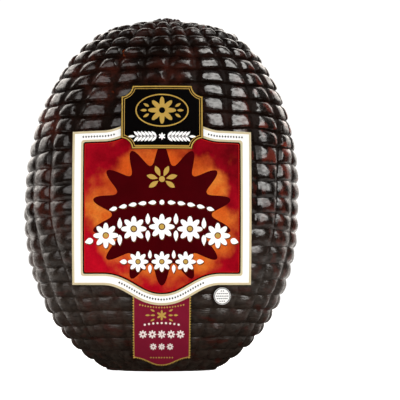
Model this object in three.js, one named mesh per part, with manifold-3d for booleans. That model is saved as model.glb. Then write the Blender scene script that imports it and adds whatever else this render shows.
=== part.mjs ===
// A whole glazed ham, cooked and smoked upright in an elastic net, with its printed labels.
// Millimetres. +Z is up, the labels face -Y, and the origin is the middle of the flat foot.
import * as THREE from "three";
import { mergeVertices } from "three/addons/utils/BufferGeometryUtils.js";
import Module from "manifold-3d";

// The ham's outside, measured over the pillows between the net's cords.
const HEIGHT = 310;
const WIDTH = 242;
const DEPTH = 165;
const FOOT_WIDTH = 97;
const BELLY_HEIGHT = 141; // the widest level
const SHOULDER_POWER = 2.25; // 2 would be an ellipse, more is squarer
const HEEL_POWER = 2.1;
const CROWN_LEAN = 4.4; // how far the crown stands to +X of the foot

// The marks that the net leaves.
const COLUMNS = 26;
const ROWS = 28;
const CROWN_ROWS = 3; // under the crown the cords run together in pairs
const KNOT_ROWS = 0.35; // share of the top row that the gathered knot takes
const KNOT_RISE = 1.5;
const GROOVE_DEPTH = 3.6;
const PILLOW_TOP = 0.6; // share of a pillow that its crowned top takes
const PILLOW_CROWN = 0.7; // how much lower the edge of that top lies
const SIDE_TILT = 0.16; // in rows: the net sits higher on +X than on -X
const FRONT_RISE = 0.4; // in rows: low rows bow upward at the front and the back
const FRONT_RISE_ROW = 3.5;
const FRONT_SPREAD = 0.15; // how much wider the upper columns are at the front
const FIRST_CORD = 0.15; // in columns: the front cord stands this far to +X

// Labels are thin films, each laid clear of the surface below it.
const FILM = 0.5;
const FILM_GAP = 0.35;
const FACET = 9; // longest straight step across a bent film

const LABEL_WIDTH = 149;
const LABEL_TOP = 201;
const LABEL_BOTTOM = 73.5;
const LABEL_SHOULDER = 26; // the straight run at each corner, before the edge swings
const LABEL_RISE = 13;
const LABEL_DROP = 16.7;

const PLAQUE_WIDTH = 68;
const PLAQUE_TOP = 239;
const PLAQUE_BOTTOM = 185;
const PLAQUE_SCOOP = 9; // radius of the scooped corners

const PENNANT_WIDTH = 48.6;
const PENNANT_TOP = 74; // tucked under the front label
const PENNANT_BOTTOM = 12;
const PENNANT_DROP = 7;

const SEAL_RADIUS = 7;
const SEAL_PLACE = new THREE.Vector2(50.2, 64.2); // x and height of its middle

// Below the belly the outline aims for a point under the floor, and the foot cuts it off.
const HEEL_REACH =
  BELLY_HEIGHT / (1 - (FOOT_WIDTH / WIDTH) ** HEEL_POWER) ** (1 / HEEL_POWER);

const wasm = await Module();
wasm.setup();

// The ham's smooth outside without the net's marks, pushed out by `swell`.
class Envelope {
  constructor(swell = 0) {
    this.halfWidth = WIDTH / 2 + swell;
    this.halfDepth = DEPTH / 2 + swell;
    this.shoulderReach = HEIGHT - BELLY_HEIGHT + swell;
    this.heelReach = HEEL_REACH + swell;
  }

  // Girth at height z, as a share of the belly's.
  girth(z) {
    const upper = z > BELLY_HEIGHT;
    const reach = upper ? this.shoulderReach : this.heelReach;
    const power = upper ? SHOULDER_POWER : HEEL_POWER;
    const way = Math.abs(z - BELLY_HEIGHT) / reach;
    return Math.max(0, 1 - way ** power) ** (1 / power);
  }

  // How far the middle of the level at height z has moved to +X.
  lean(z) {
    return CROWN_LEAN * THREE.MathUtils.smoothstep(z, BELLY_HEIGHT, HEIGHT);
  }

  point(angle, z) {
    const girth = this.girth(z);
    const x = this.lean(z) + this.halfWidth * girth * Math.cos(angle);
    return new THREE.Vector3(x, this.halfDepth * girth * Math.sin(angle), z);
  }

  normal(angle, z) {
    const step = 0.5;
    const slope = (this.girth(z + step) - this.girth(z - step)) / (2 * step);
    const x = Math.cos(angle) / this.halfWidth;
    const y = Math.sin(angle) / this.halfDepth;
    return new THREE.Vector3(x, y, -slope).normalize();
  }

  // The y of the front at x and height z.
  front(x, z) {
    const girth = this.girth(z);
    const across = (x - this.lean(z)) / (this.halfWidth * girth);
    return -this.halfDepth * girth * Math.sqrt(Math.max(0, 1 - across ** 2));
  }
}

const ham = new Envelope();

// The ham's side outline from foot to crown, along which the rows are evenly spaced.
class SideOutline extends THREE.Curve {
  getPoint(t, target = new THREE.Vector2()) {
    const z = HEIGHT * (1 - (1 - t) ** 2);
    return target.set(ham.halfWidth * ham.girth(z), z);
  }
}

const side = new SideOutline();
side.arcLengthDivisions = 2000;

// The belly's outline, from the front through +X, along which the columns are evenly spaced.
const belly = new THREE.EllipseCurve(
  0, 0, ham.halfWidth, ham.halfDepth, -Math.PI / 2, (3 * Math.PI) / 2,
);
belly.arcLengthDivisions = 2000;

function columnAngle(column) {
  const share = THREE.MathUtils.euclideanModulo(column / COLUMNS, 1);
  const at = belly.getPointAt(share);
  return Math.atan2(at.y / ham.halfDepth, at.x / ham.halfWidth);
}

// A point of the netted surface. `lift` is measured from the envelope, outward.
function netPoint([column, row], lift) {
  const turn = (2 * Math.PI * column) / COLUMNS;
  const slack = Math.sin((Math.PI * row) / ROWS) ** 0.5; // no wander at the foot and the crown
  const upper = THREE.MathUtils.smoothstep(row, ROWS * 0.25, ROWS * 0.6);
  const spread = FRONT_SPREAD * (1.3 * upper - 0.3) * Math.sin(turn) * (COLUMNS / (2 * Math.PI));
  const sway = 0.08 * Math.sin(5 * turn + 0.9 * row) + 0.06 * Math.sin(9 * turn - 0.5 * row + 1);
  const bob = 0.06 * Math.sin(4 * turn + 1.1 * row) + 0.05 * Math.sin(11 * turn - 0.8 * row);
  const bow = Math.cos(turn) ** 2 * Math.exp(-(((row - FRONT_RISE_ROW) / 3) ** 2));
  const angle = columnAngle(column + FIRST_CORD + spread + slack * sway);
  const height = row + slack * (bob + SIDE_TILT * Math.sin(turn) + FRONT_RISE * bow);
  const z = side.getPointAt(THREE.MathUtils.clamp(height / ROWS, 0, 1)).y;
  const point = ham.point(angle, z).addScaledVector(ham.normal(angle, z), lift);
  return row === 0 ? point.setZ(0) : point;
}

// Gathers triangles, then merges the vertices that they share.
class Skin {
  constructor() {
    this.positions = [];
  }

  triangle(a, b, c) {
    for (const corner of [a, b, c]) this.positions.push(corner.x, corner.y, corner.z);
  }

  // Joins two loops of as many points, the inner one lying to the left of the outer one.
  band(outer, inner) {
    outer.forEach((corner, i) => {
      const next = (i + 1) % outer.length;
      this.triangle(corner, outer[next], inner[next]);
      this.triangle(corner, inner[next], inner[i]);
    });
  }

  fan(loop, middle) {
    loop.forEach((corner, i) => this.triangle(corner, loop[(i + 1) % loop.length], middle));
  }

  geometry() {
    const made = new THREE.BufferGeometry();
    made.setAttribute("position", new THREE.Float32BufferAttribute(this.positions, 3));
    return mergeVertices(made, 1e-3);
  }
}

// One pillow of meat: `loop` runs round it, in columns and rows, along the grooves.
function addPillow(skin, loop) {
  const middle = [0, 1].map((axis) => {
    return loop.reduce((sum, corner) => sum + corner[axis], 0) / loop.length;
  });
  const inward = loop.map((corner) => {
    return corner.map((at, axis) => THREE.MathUtils.lerp(middle[axis], at, PILLOW_TOP));
  });
  const groove = loop.map((corner) => netPoint(corner, -GROOVE_DEPTH));
  const edge = inward.map((corner) => netPoint(corner, -PILLOW_CROWN));
  skin.band(groove, edge);
  skin.fan(edge, netPoint(middle, 0));
}

function hamGeometry() {
  const skin = new Skin();
  for (let row = 0; row < ROWS; row++) {
    const crown = row >= ROWS - CROWN_ROWS;
    const step = crown ? 2 : 1;
    const top = row === ROWS - 1 ? ROWS - KNOT_ROWS : row + 1;
    for (let column = 0; column < COLUMNS; column += step) {
      const next = column + step;
      const loop = [[column, row], [next, row], [next, top], [column, top]];
      // The lowest crown pillow also meets the cord that ends under its middle.
      if (row === ROWS - CROWN_ROWS) loop.splice(1, 0, [column + 1, row]);
      addPillow(skin, loop);
    }
  }
  const ring = (row, step, lift) => {
    const columns = Array.from({ length: COLUMNS / step }, (_, i) => i * step);
    return columns.map((column) => netPoint([column, row], lift));
  };
  const knot = ring(ROWS - KNOT_ROWS, 2, -GROOVE_DEPTH);
  const knotEdge = ring(ROWS - KNOT_ROWS / 2, 2, 0);
  skin.band(knot, knotEdge);
  skin.fan(knotEdge, new THREE.Vector3(CROWN_LEAN, 0, HEIGHT + KNOT_RISE - GROOVE_DEPTH / 2));
  skin.fan(ring(0, 1, -GROOVE_DEPTH).reverse(), new THREE.Vector3(0, 0, 0));
  return skin.geometry();
}

function toSolid(geometry) {
  const bare = geometry.clone();
  bare.deleteAttribute("normal");
  bare.deleteAttribute("uv");
  const merged = mergeVertices(bare, 1e-4);
  const vertProperties = merged.attributes.position.array;
  const triVerts = new Uint32Array(merged.index.array);
  return new wasm.Manifold(new wasm.Mesh({ numProp: 3, vertProperties, triVerts }));
}

function toGeometry(solid) {
  const mesh = solid.getMesh();
  const made = new THREE.BufferGeometry();
  made.setAttribute("position", new THREE.Float32BufferAttribute(mesh.vertProperties, 3));
  return made.setIndex(new THREE.BufferAttribute(mesh.triVerts, 1));
}

// A film cut to `outline` (x and height) and bent over the front. Layer 0 lies on the ham.
function filmGeometry(outline, layer) {
  const points = outline.getPoints(10);
  const box = new THREE.Box2().setFromPoints(points).expandByScalar(1);
  const size = box.getSize(new THREE.Vector2());
  const middle = box.getCenter(new THREE.Vector2());
  const steps = size.clone().divideScalar(FACET).ceil();
  const sheet = new THREE.BoxGeometry(size.x, 1, size.y, steps.x, 1, steps.y);
  sheet.translate(middle.x, 0, middle.y);
  const inner = FILM_GAP + layer * (FILM + FILM_GAP);
  const faces = { back: new Envelope(inner), front: new Envelope(inner + FILM) };
  const position = sheet.attributes.position;
  for (let i = 0; i < position.count; i++) {
    const face = position.getY(i) < 0 ? faces.front : faces.back;
    position.setY(i, face.front(position.getX(i), position.getZ(i)));
  }
  const cutter = new THREE.ExtrudeGeometry(new THREE.Shape(points), {
    depth: DEPTH,
    bevelEnabled: false,
  });
  cutter.rotateX(Math.PI / 2); // the outline's height now points up and its depth to -Y
  return toGeometry(toSolid(sheet).intersect(toSolid(cutter)));
}

// The front label: straight shoulders, with edges that swing up at the top and down at the foot.
function labelOutline() {
  const half = LABEL_WIDTH / 2;
  const swing = half - LABEL_SHOULDER;
  const outline = new THREE.Shape();
  outline.moveTo(-half, LABEL_BOTTOM);
  outline.lineTo(-swing, LABEL_BOTTOM);
  const low = LABEL_BOTTOM - LABEL_DROP;
  outline.bezierCurveTo(-0.62 * swing, LABEL_BOTTOM, -0.45 * swing, low, 0, low);
  outline.bezierCurveTo(0.45 * swing, low, 0.62 * swing, LABEL_BOTTOM, swing, LABEL_BOTTOM);
  outline.lineTo(half, LABEL_BOTTOM);
  outline.lineTo(half, LABEL_TOP);
  outline.lineTo(swing, LABEL_TOP);
  const high = LABEL_TOP + LABEL_RISE;
  outline.bezierCurveTo(0.68 * swing, LABEL_TOP, 0.45 * swing, high, 0, high);
  outline.bezierCurveTo(-0.45 * swing, high, -0.68 * swing, LABEL_TOP, -swing, LABEL_TOP);
  outline.lineTo(-half, LABEL_TOP);
  outline.closePath();
  return outline;
}

// The crest's plaque: a plate with four scooped corners.
function plaqueOutline() {
  const half = PLAQUE_WIDTH / 2;
  const outline = new THREE.Shape();
  const quarter = Math.PI / 2;
  outline.moveTo(-half + PLAQUE_SCOOP, PLAQUE_BOTTOM);
  outline.absarc(half, PLAQUE_BOTTOM, PLAQUE_SCOOP, 2 * quarter, quarter, true);
  outline.absarc(half, PLAQUE_TOP, PLAQUE_SCOOP, 3 * quarter, 2 * quarter, true);
  outline.absarc(-half, PLAQUE_TOP, PLAQUE_SCOOP, 4 * quarter, 3 * quarter, true);
  outline.absarc(-half, PLAQUE_BOTTOM, PLAQUE_SCOOP, quarter, 0, true);
  outline.closePath();
  return outline;
}

// The pennant that hangs from under the front label, with a bowed lower edge.
function pennantOutline() {
  const half = PENNANT_WIDTH / 2;
  const tip = PENNANT_BOTTOM - PENNANT_DROP;
  const outline = new THREE.Shape();
  outline.moveTo(-half, PENNANT_BOTTOM);
  outline.bezierCurveTo(-0.5 * half, PENNANT_BOTTOM - 1, -0.4 * half, tip, 0, tip);
  outline.bezierCurveTo(0.4 * half, tip, 0.5 * half, PENNANT_BOTTOM - 1, half, PENNANT_BOTTOM);
  outline.lineTo(half, PENNANT_TOP);
  outline.lineTo(-half, PENNANT_TOP);
  outline.closePath();
  return outline;
}

function sealOutline() {
  const outline = new THREE.Shape();
  outline.absarc(SEAL_PLACE.x, SEAL_PLACE.y, SEAL_RADIUS, 0, 2 * Math.PI, false);
  return outline;
}

function piece(name, geometry, color, roughness) {
  const material = new THREE.MeshStandardMaterial({ color, roughness, metalness: 0 });
  const mesh = new THREE.Mesh(geometry, material);
  mesh.name = name;
  return mesh;
}

const part = new THREE.Group();
part.add(
  piece("ham", hamGeometry(), "#2a1712", 0.2),
  piece("pennant_label", filmGeometry(pennantOutline(), 0), "#7d1e32", 0.45),
  piece("round_seal", filmGeometry(sealOutline(), 0), "#f4f4f2", 0.4),
  piece("front_label", filmGeometry(labelOutline(), 1), "#c01a2c", 0.35),
  piece("crest_plaque", filmGeometry(plaqueOutline(), 2), "#0c0b0a", 0.35),
);

export default part;
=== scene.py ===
"""A whole glazed ham with its printed labels, dressed for a plain white studio.

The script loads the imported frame, replaces its plain solids with finished pieces, lights them and sets
the camera. Sizes are in metres, +Z is up and the labelled front faces -Y.
"""

from __future__ import annotations

import bisect
import logging
import math
import random
from collections.abc import Callable, Iterable, Sequence
from dataclasses import astuple, dataclass, field
from enum import Enum

import bpy
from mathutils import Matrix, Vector

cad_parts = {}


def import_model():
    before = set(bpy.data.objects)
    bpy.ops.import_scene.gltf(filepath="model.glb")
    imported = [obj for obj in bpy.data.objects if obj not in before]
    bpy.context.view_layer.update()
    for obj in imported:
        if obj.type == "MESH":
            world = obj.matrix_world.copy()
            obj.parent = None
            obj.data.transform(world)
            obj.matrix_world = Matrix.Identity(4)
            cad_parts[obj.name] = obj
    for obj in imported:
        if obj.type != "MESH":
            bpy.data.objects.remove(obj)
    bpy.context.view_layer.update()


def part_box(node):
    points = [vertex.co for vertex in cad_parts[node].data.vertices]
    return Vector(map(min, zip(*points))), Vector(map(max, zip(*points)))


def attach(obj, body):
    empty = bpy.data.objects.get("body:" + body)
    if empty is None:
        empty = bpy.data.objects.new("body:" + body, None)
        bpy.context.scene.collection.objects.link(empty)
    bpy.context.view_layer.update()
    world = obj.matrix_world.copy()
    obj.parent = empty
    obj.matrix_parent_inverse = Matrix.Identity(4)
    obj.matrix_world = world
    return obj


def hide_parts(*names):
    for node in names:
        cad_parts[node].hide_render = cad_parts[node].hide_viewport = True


log = logging.getLogger("ham")

MM = 0.001
SIDES = (-1, 1)
Point = tuple[float, float]
Span = tuple[float, float]
Triple = tuple[float, float, float]
Colour = Triple
Outline = Sequence[Point]
Socket = bpy.types.NodeSocket


# ---------------------------------------------------------------- shared helpers


def smoothstep(value: float, low: float, high: float) -> float:
    """Eases from 0 at low to 1 at high, and low may be the greater."""
    share = min(1.0, max(0.0, (value - low) / (high - low)))
    return share * share * (3 - 2 * share)


def srgb(red: int, green: int, blue: int) -> Colour:
    """Turns a display colour into the linear colour that a shader takes.

    Args:
        red: the red level, 0 to 255.
        green: the green level.
        blue: the blue level.

    Returns:
        The linear colour.
    """

    def linear(level: int) -> float:
        """Returns one level, 0 to 255, as linear light."""
        share = level / 255
        return share / 12.92 if share <= 0.04045 else ((share + 0.055) / 1.055) ** 2.4

    return linear(red), linear(green), linear(blue)


def deselect() -> None:
    """Leaves edit mode and clears the selection, so that an operator touches nothing by chance."""
    if bpy.context.mode != "OBJECT":
        bpy.ops.object.mode_set(mode="OBJECT")
    bpy.ops.object.select_all(action="DESELECT")


def take(piece: bpy.types.Object) -> None:
    """Makes one piece the only selected and the active one.

    Args:
        piece: the object to take.
    """
    deselect()
    piece.select_set(True)
    bpy.context.view_layer.objects.active = piece


def pick_faces(piece: bpy.types.Object, keep: Callable[[bpy.types.MeshPolygon], bool]) -> int:
    """Selects the faces of a mesh that pass a test, and nothing else.

    Args:
        piece: the mesh object, in object mode.
        keep: the test that each face is put to.

    Returns:
        How many faces pass.
    """
    mesh = piece.data
    for group in (mesh.vertices, mesh.edges):
        group.foreach_set("select", [False] * len(group))
    chosen = [keep(face) for face in mesh.polygons]
    mesh.polygons.foreach_set("select", chosen)
    return sum(chosen)


def edit_faces(piece: bpy.types.Object, *steps: Callable[[], object]) -> None:
    """Runs edit-mode operators on the selected faces of a mesh.

    Args:
        piece: the mesh object.
        steps: calls that each run one or more operators.
    """
    take(piece)
    bpy.context.tool_settings.mesh_select_mode = (False, False, True)
    bpy.ops.object.mode_set(mode="EDIT")
    for step in steps:
        step()
    bpy.ops.object.mode_set(mode="OBJECT")


def apply_modifier(piece: bpy.types.Object, kind: str, **settings: object) -> None:
    """Adds a modifier and applies it at once.

    Args:
        piece: the mesh object.
        kind: the modifier's type.
        settings: its properties.
    """
    take(piece)
    modifier = piece.modifiers.new(kind.lower(), kind)
    for key, value in settings.items():
        setattr(modifier, key, value)
    bpy.ops.object.modifier_apply(modifier=modifier.name)


def smooth(piece: bpy.types.Object, degrees: float) -> None:
    """Shades a piece smooth, except at edges that bend by more than these degrees."""
    take(piece)
    bpy.ops.object.shade_smooth_by_angle(angle=math.radians(degrees))


def settle(piece: bpy.types.Object, slot: str, *nodes: str) -> None:
    """Hands a finished piece to the frame: it rides on the root and stands for CAD nodes.

    Args:
        piece: the finished piece.
        slot: not used.
        nodes: the CAD nodes that it replaces.
    """
    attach(piece, "root")
    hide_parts(*nodes)
    log.info("%s: %d faces", piece.name, len(piece.data.polygons))


# ---------------------------------------------------------------- shader building


@dataclass
class Graph:
    """A node tree with short calls to fill it."""

    tree: bpy.types.NodeTree

    def add(
        self, kind: str, inputs: dict[str | int, object] | None = None, **settings: object
    ) -> bpy.types.Node:
        """Adds one node.

        Args:
            kind: the node's type name without "ShaderNode", or a full name that starts with "Node".
            inputs: a value, or a socket to link from, for each named or numbered input.
            settings: the node's own properties.

        Returns:
            The node.
        """
        node = self.tree.nodes.new(kind if kind.startswith("Node") else "ShaderNode" + kind)
        for key, value in settings.items():
            setattr(node, key, value)
        for key, value in (inputs or {}).items():
            self.feed(node.inputs[key], value)
        return node

    def feed(self, socket: Socket, value: object) -> None:
        """Links a socket into an input, or sets the input's own value.

        Args:
            socket: the input.
            value: a socket to link from, or a value.
        """
        if isinstance(value, Socket):
            self.tree.links.new(value, socket)
        elif socket.type == "RGBA" and isinstance(value, tuple) and len(value) == 3:
            socket.default_value = (*value, 1.0)
        else:
            socket.default_value = value

    def blend(self, factor: object, first: object, second: object, mode: str = "MIX") -> Socket:
        """Mixes two colours and returns the result."""
        inputs = {0: factor, 6: first, 7: second}
        return self.add("Mix", inputs, data_type="RGBA", blend_type=mode).outputs[2]

    def math(self, operation: str, *values: object) -> Socket:
        """Runs one math node and returns its value."""
        return self.add("Math", dict(enumerate(values)), operation=operation).outputs[0]

    def line(self, value: object, slope: float, start: object) -> Socket:
        """Returns a value times a slope, plus a start."""
        return self.math("MULTIPLY_ADD", value, slope, start)

    def product(self, *values: object) -> Socket:
        """Multiplies values, from the first to the last.

        Args:
            values: sockets or numbers.

        Returns:
            The product.
        """
        result = values[0]
        for value in values[1:]:
            result = self.math("MULTIPLY", result, value)
        return result

    def ranged(
        self, value: Socket, span: Sequence[object], to: Span = (0.0, 1.0), eased: bool = False
    ) -> Socket:
        """Maps a value from one span to another and holds it at the ends.

        Args:
            value: the value.
            span: where the first span starts and ends; the start may be the greater.
            to: where the second span starts and ends.
            eased: whether the change is smooth at both ends.

        Returns:
            The new value.
        """
        node = self.add("MapRange", interpolation_type="SMOOTHSTEP" if eased else "LINEAR")
        names = ("Value", "From Min", "From Max", "To Min", "To Max")
        for name, given in zip(names, (value, *span, *to)):
            self.feed(node.inputs[name], given)
        return node.outputs["Result"]

    def scaled(self, vector: Socket, scale: Triple) -> Socket:
        """Returns coordinates scaled along X, Y and Z."""
        return self.add("Mapping", {"Vector": vector, "Scale": scale}).outputs[0]

    def place(self, tree: bpy.types.NodeTree, vector: Socket, **values: object) -> Socket:
        """Places a node group.

        Args:
            tree: the group.
            vector: the socket that carries the coordinates.
            values: the group's other inputs, with underscores for spaces.

        Returns:
            The group's output.
        """
        node = self.add("Group")
        node.node_tree = tree
        self.feed(node.inputs["Vector"], vector)
        for key, value in values.items():
            self.feed(node.inputs[key.replace("_", " ").title()], value)
        return node.outputs[0]


def shared_group(
    name: str, inputs: Sequence[str], kind: str, fill: Callable[[Graph, bpy.types.NodeOutputs], Socket]
) -> bpy.types.NodeTree:
    """Finds a shader node group, or makes it when it is first asked for.

    Args:
        name: the group's name, and its output's.
        inputs: the names of the float inputs that follow its Vector input.
        kind: the output's socket type.
        fill: adds the inner nodes, given the graph and the inputs, and returns the socket to put out.

    Returns:
        The group.
    """
    if name in bpy.data.node_groups:
        return bpy.data.node_groups[name]
    tree = bpy.data.node_groups.new(name, "ShaderNodeTree")
    tree.interface.new_socket("Vector", in_out="INPUT", socket_type="NodeSocketVector")
    for key in inputs:
        tree.interface.new_socket(key, in_out="INPUT", socket_type="NodeSocketFloat")
    tree.interface.new_socket(name, in_out="OUTPUT", socket_type=kind)
    graph = Graph(tree)
    given = graph.add("NodeGroupInput").outputs
    graph.add("NodeGroupOutput", {name: fill(graph, given)})
    return tree


def patches_group() -> bpy.types.NodeTree:
    """Makes soft-edged patches: a mask that rises where a noise passes a threshold.

    Returns:
        The group.
    """

    def fill(graph: Graph, given: bpy.types.NodeOutputs) -> Socket:
        """Compares a shifted noise with the threshold.

        Args:
            graph: the group's graph.
            given: the group's inputs.

        Returns:
            The mask.
        """
        moved = graph.add("VectorMath", {0: given["Vector"], 1: given["Shift"]}, operation="ADD")
        inputs = {"Vector": moved.outputs[0], "Scale": given["Scale"], "Detail": given["Detail"]}
        noise = graph.add("TexNoise", inputs).outputs["Fac"]
        span = [graph.math(way, given["Threshold"], given["Softness"]) for way in ("SUBTRACT", "ADD")]
        return graph.ranged(noise, span, eased=True)

    inputs = ("Scale", "Detail", "Shift", "Threshold", "Softness")
    return shared_group("patches", inputs, "NodeSocketFloat", fill)


def ripple_group() -> bpy.types.NodeTree:
    """Makes small relief at two scales, put out as a normal.

    Returns:
        The group.
    """

    def fill(graph: Graph, given: bpy.types.NodeOutputs) -> Socket:
        """Adds a fine noise to a broad one and turns the sum into a normal.

        Args:
            graph: the group's graph.
            given: the group's inputs.

        Returns:
            The normal.
        """
        broad, fine = (
            graph.add("TexNoise", {"Vector": given["Vector"], "Scale": given[scale], "Detail": detail})
            for scale, detail in (("Scale", 2.0), ("Fine Scale", 3.0))
        )
        share = graph.product(fine.outputs["Fac"], given["Fine Share"])
        height = graph.product(graph.math("ADD", broad.outputs["Fac"], share), given["Height"])
        return graph.add("Bump", {"Height": height, "Strength": 1.0, "Distance": 1.0}).outputs["Normal"]

    inputs = ("Scale", "Fine Scale", "Fine Share", "Height")
    return shared_group("ripple", inputs, "NodeSocketVector", fill)


@dataclass(frozen=True)
class Patches:
    """One set of soft-edged patches: the noise's scale, detail and place, and the mask's edge."""

    scale: float
    detail: float
    shift: float
    threshold: float
    softness: float

    def mask(self, graph: Graph, vector: Socket, **changes: object) -> Socket:
        """Places the patches, with some inputs changed, and returns their mask."""
        return graph.place(patches_group(), vector, **{**vars(self), **changes})


def new_material(
    name: str, **constants: float
) -> tuple[bpy.types.Material, Graph, bpy.types.NodeInputs, Socket]:
    """Starts a material.

    Args:
        name: its name.
        constants: values for the Principled shader's inputs, with underscores for spaces.

    Returns:
        The material, its graph, its Principled shader's inputs and its Object coordinates.
    """
    material = bpy.data.materials.new(name)
    material.use_nodes = True
    graph = Graph(material.node_tree)
    sockets = material.node_tree.nodes["Principled BSDF"].inputs
    for key, value in constants.items():
        sockets[key.replace("_", " ")].default_value = value
    return material, graph, sockets, graph.add("TexCoord").outputs["Object"]


def bare_graph(block: bpy.types.World | bpy.types.Material) -> Graph:
    """Clears the nodes of a new world or material.

    Args:
        block: the world or material.

    Returns:
        Its graph.
    """
    block.use_nodes = True
    block.node_tree.nodes.clear()
    return Graph(block.node_tree)


# ---------------------------------------------------------------- finishes


@dataclass(frozen=True)
class Glaze:
    """The dark, wet glaze over smoked meat, drier and browner towards the foot, where its paler grey-brown
    is partly a painted sheen.

    A span that is named for a place is the one over which that place's mask sets in. A least share is
    what is left of a tint outside its place. A relief is its height on the wet meat and on the drier meat
    near the foot.
    """

    dark: Colour = srgb(16, 8, 5)
    warm: Colour = srgb(72, 30, 21)
    # Painted glow: the thin glaze's red, shown as light shining through it on the lit right and upper side.
    blush: Colour = srgb(108, 40, 28)
    # Painted glints: orange sparks that stand for light shining through the glaze at pillow edges.
    ember: Colour = srgb(160, 62, 12)
    # Near the foot: a drier, browner skin, whose paler grey-brown is partly a painted sheen, the white
    # floor's reflection.
    dry: Colour = srgb(52, 44, 38)
    smear: Colour = srgb(52, 22, 16)
    thin_patches: Patches = Patches(30.0, 3.0, 0.0, 0.55, 0.14)
    spots: Patches = Patches(110.0, 4.0, 3.0, 0.5, 0.25)
    blush_patches: Patches = Patches(80.0, 6.0, 21.0, 0.57, 0.09)
    ember_patches: Patches = Patches(70.0, 3.0, 7.0, 0.77, 0.06)
    dull_patches: Patches = Patches(240.0, 5.0, 11.0, 0.52, 0.2)
    smear_patches: Patches = Patches(95.0, 4.0, 31.0, 0.63, 0.07)
    streaks: Patches = Patches(220.0, 5.0, 5.0, 0.46, 0.2)
    torn: Patches = Patches(280.0, 6.0, 17.0, 0.5, 0.2)
    near_foot: Span = (138 * MM, 60 * MM)
    left_side: Span = (45 * MM, 10 * MM)
    right_side: Span = (58 * MM, 98 * MM)
    upper_warm: Span = (100 * MM, 190 * MM)
    upper_blush: Span = (140 * MM, 200 * MM)
    upper_wet: Span = (150 * MM, 195 * MM)
    crown: Span = (255 * MM, 295 * MM)
    middle: float = 3 * MM
    near_middle: Span = (30 * MM, 12 * MM)
    in_pillow: Span = (0.19, 0.33)
    tear: float = 0.24
    least_right_warm: float = 0.25
    least_lower_warm: float = 0.6
    least_lower_blush: float = 0.35
    crust_share: float = 0.35
    dull_crust_share: float = 0.55
    roughness: Span = (0.25, 0.41)
    foot_roughness: float = 0.14
    foot_wet_loss: float = 0.3
    middle_wet_loss: float = 0.55
    streak_wet_loss: float = 0.72
    crown_bareness: float = 0.8
    meat_relief: Span = (0.0006, 0.0012)
    coat_relief: Span = (0.0001, 0.00035)
    flattened: Triple = (0.6, 0.6, 1.3)
    stretched: Triple = (1.0, 1.0, 1.8)
    wrinkled: Triple = (0.35, 0.35, 2.1)

    def material(self) -> bpy.types.Material:
        """Builds the glaze: near black, with red-brown where it thins, a painted red glow and painted
        orange glints, under a wet coat.

        Returns:
            The material.
        """
        constants = {"Specular_IOR_Level": 0.02, "IOR": 1.5, "Coat_Roughness": 0.1, "Coat_IOR": 1.5}
        material, graph, sockets, at = new_material("glaze", **constants)
        side, _, height = graph.add("SeparateXYZ", {0: at}).outputs
        dry = graph.ranged(height, self.near_foot)
        dull = self.dull_patches.mask(graph, at)
        swell = self._swell(graph, at)
        graph.feed(sockets["Base Color"], self._colour(graph, at, dry, dull, swell))
        rough = graph.line(dry, self.foot_roughness, graph.ranged(dull, (0.0, 1.0), self.roughness))
        graph.feed(sockets["Roughness"], rough)
        stretched = graph.scaled(at, self.stretched)
        loss = self.streak_wet_loss
        streaks = graph.line(self.streaks.mask(graph, stretched), loss, 1 - loss)
        film = self._wetness(graph, side, height, dry, swell)
        graph.feed(sockets["Coat Weight"], graph.product(film, streaks))
        creases = {0: dry, 4: stretched, 5: graph.scaled(at, self.wrinkled)}
        creased = graph.add("Mix", creases, data_type="VECTOR").outputs[1]
        for socket, (wet_relief, dry_relief) in (
            ("Normal", self.meat_relief),
            ("Coat Normal", self.coat_relief),
        ):
            rise = graph.line(dry, dry_relief - wet_relief, wet_relief)
            values = {"scale": 300.0, "fine_scale": 800.0, "fine_share": 0.7, "height": rise}
            graph.feed(sockets[socket], graph.place(ripple_group(), creased, **values))
        return material

    def _swell(self, graph: Graph, at: Socket) -> Socket:
        """Masks the swollen part of each pillow, with a torn edge.

        Args:
            graph: the material's graph.
            at: its coordinates.

        Returns:
            1 on the swollen part and 0 where the cords lay.
        """
        inward = graph.add("Attribute", attribute_name="inward").outputs["Fac"]
        torn = graph.line(self.torn.mask(graph, at), self.tear, -0.5 * self.tear)
        return graph.ranged(graph.math("ADD", inward, torn), self.in_pillow, eased=True)

    def _colour(self, graph: Graph, at: Socket, dry: Socket, dull: Socket, swell: Socket) -> Socket:
        """Lays one tint over another, each where its own patches and places show it. The orange sparks are
        painted glints, the red on the right a painted glow and the grey-brown near the foot partly a
        painted sheen.

        Args:
            graph: the material's graph.
            at: its coordinates.
            dry: the mask near the foot, where the meat is drier and its paler grey-brown partly a painted
                sheen.
            dull: the mask of the dull patches.
            swell: the mask of the pillows' swollen part.

        Returns:
            The colour.
        """
        side, _, height = graph.add("SeparateXYZ", {0: at}).outputs
        left = graph.ranged(side, self.left_side, (self.least_right_warm, 1.0))
        upper = graph.ranged(height, self.upper_warm, (self.least_lower_warm, 1.0))
        shown = graph.product(left, upper)
        thin = graph.product(self.thin_patches.mask(graph, at), self.spots.mask(graph, at), shown)
        # Painted glow of light through the glaze: on the lit right side, higher up, and off the shaded
        # grooves.
        right = graph.product(graph.ranged(side, self.right_side), self.blush_patches.mask(graph, at))
        high = graph.ranged(height, self.upper_blush, (self.least_lower_blush, 1.0))
        painted_glow = graph.product(right, swell, high)
        # Near the foot: a drier skin, whose paler grey-brown is partly a painted sheen of the floor.
        crust_and_sheen = graph.product(dry, graph.line(dull, self.dull_crust_share, self.crust_share))
        smears = self.smear_patches.mask(graph, graph.scaled(at, self.flattened))
        tints = (
            (thin, self.warm),
            (painted_glow, self.blush),
            (self.ember_patches.mask(graph, at), self.ember),
            (crust_and_sheen, self.dry),
            (graph.product(smears, dry), self.smear),
        )
        colour = self.dark
        for mask, tint in tints:
            colour = graph.blend(mask, colour, tint)
        return colour

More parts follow.
